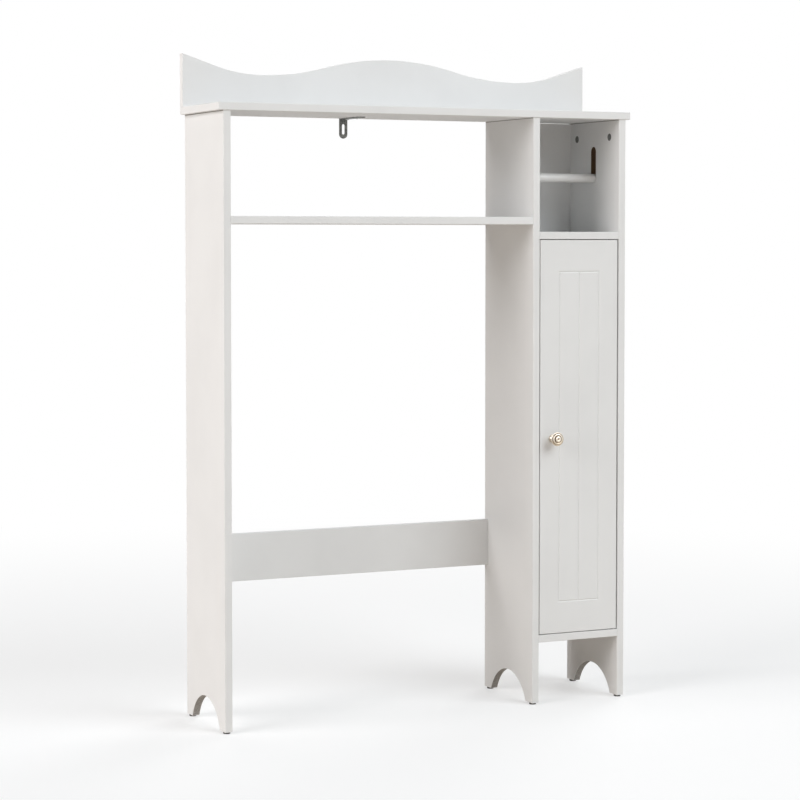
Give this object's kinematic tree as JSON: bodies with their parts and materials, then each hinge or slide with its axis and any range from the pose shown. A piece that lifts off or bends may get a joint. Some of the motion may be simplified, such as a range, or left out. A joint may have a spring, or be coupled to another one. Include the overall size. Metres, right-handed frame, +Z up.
{
  "type": "toilet storage cabinet",
  "caption": "Tall white floor-standing cabinet for round a toilet: open lower bay, display shelf, paper-roll cubby with a lift-out rod, and a narrow cupboard with a hinged, knobbed door.",
  "frame": {"origin": "on the floor, under the middle of the bounding box of the closed cabinet, knob included", "axes": "+Z up, +Y from the front to the wall, +X to the viewer's right, towards the cupboard"},
  "size_m": [0.9, 0.237, 1.31],
  "materials": {
    "white_paint": "satin white paint on fibreboard",
    "white_hardboard": "satin white face on thin fibreboard",
    "white_lacquer_rod": "satin white lacquer on a turned rod",
    "beech": "raw",
    "zinc_steel": "dull zinc plating",
    "champagne_metal": "satin champagne plating",
    "dark_plastic": "matte",
    "white_nylon": "matte",
    "ferrite": "matte, between steel pole plates"
  },
  "bodies": {
    "cabinet": {"left_side_panel": "white_paint", "middle_panel": "white_paint", "right_side_panel": "white_paint", "top_board": "white_paint", "back_splash": "white_paint", "open_shelf": "white_paint", "paper_cubby_floor": "white_paint", "cabinet_bottom_board": "white_paint", "lower_back_rail": "white_paint", "lower_inner_shelf": "white_paint", "upper_inner_shelf": "white_paint", "cabinet_back_panel": "white_hardboard", "wood_dowels": "beech", "cam_lock_nuts": "zinc_steel", "cam_bolts": "zinc_steel", "backsplash_screws": "zinc_steel", "wall_bracket": "zinc_steel", "wall_bracket_screws": "zinc_steel", "catch_screws": "zinc_steel", "shelf_pins": "zinc_steel", "left_front_glide": "dark_plastic", "left_back_glide": "dark_plastic", "middle_front_glide": "dark_plastic", "middle_back_glide": "dark_plastic", "right_front_glide": "dark_plastic", "right_back_glide": "dark_plastic", "upper_pivot_bush": "dark_plastic", "lower_pivot_bush": "dark_plastic", "catch_housing": "white_nylon", "catch_magnet": "ferrite"},
    "door": {"door_panel": "white_paint", "door_knob": "champagne_metal", "knob_screw": "zinc_steel", "strike_plate": "zinc_steel", "strike_screws": "zinc_steel", "upper_pivot_pin": "zinc_steel", "lower_pivot_pin": "zinc_steel"},
    "paper_rod": {"paper_rod": "white_lacquer_rod"}
  },
  "joints": [
    {"name": "door_swing", "type": "hinge", "parent": "cabinet", "child": "door", "pos_m": [0.4115, -0.084, 0.5438], "axis": [0, 0, 1], "range_deg": [0, 110]},
    {"name": "rod_lift", "type": "slide", "parent": "cabinet", "child": "paper_rod", "axis": [0, 0, 1], "range_m": [0, 0.056]}
  ]
}
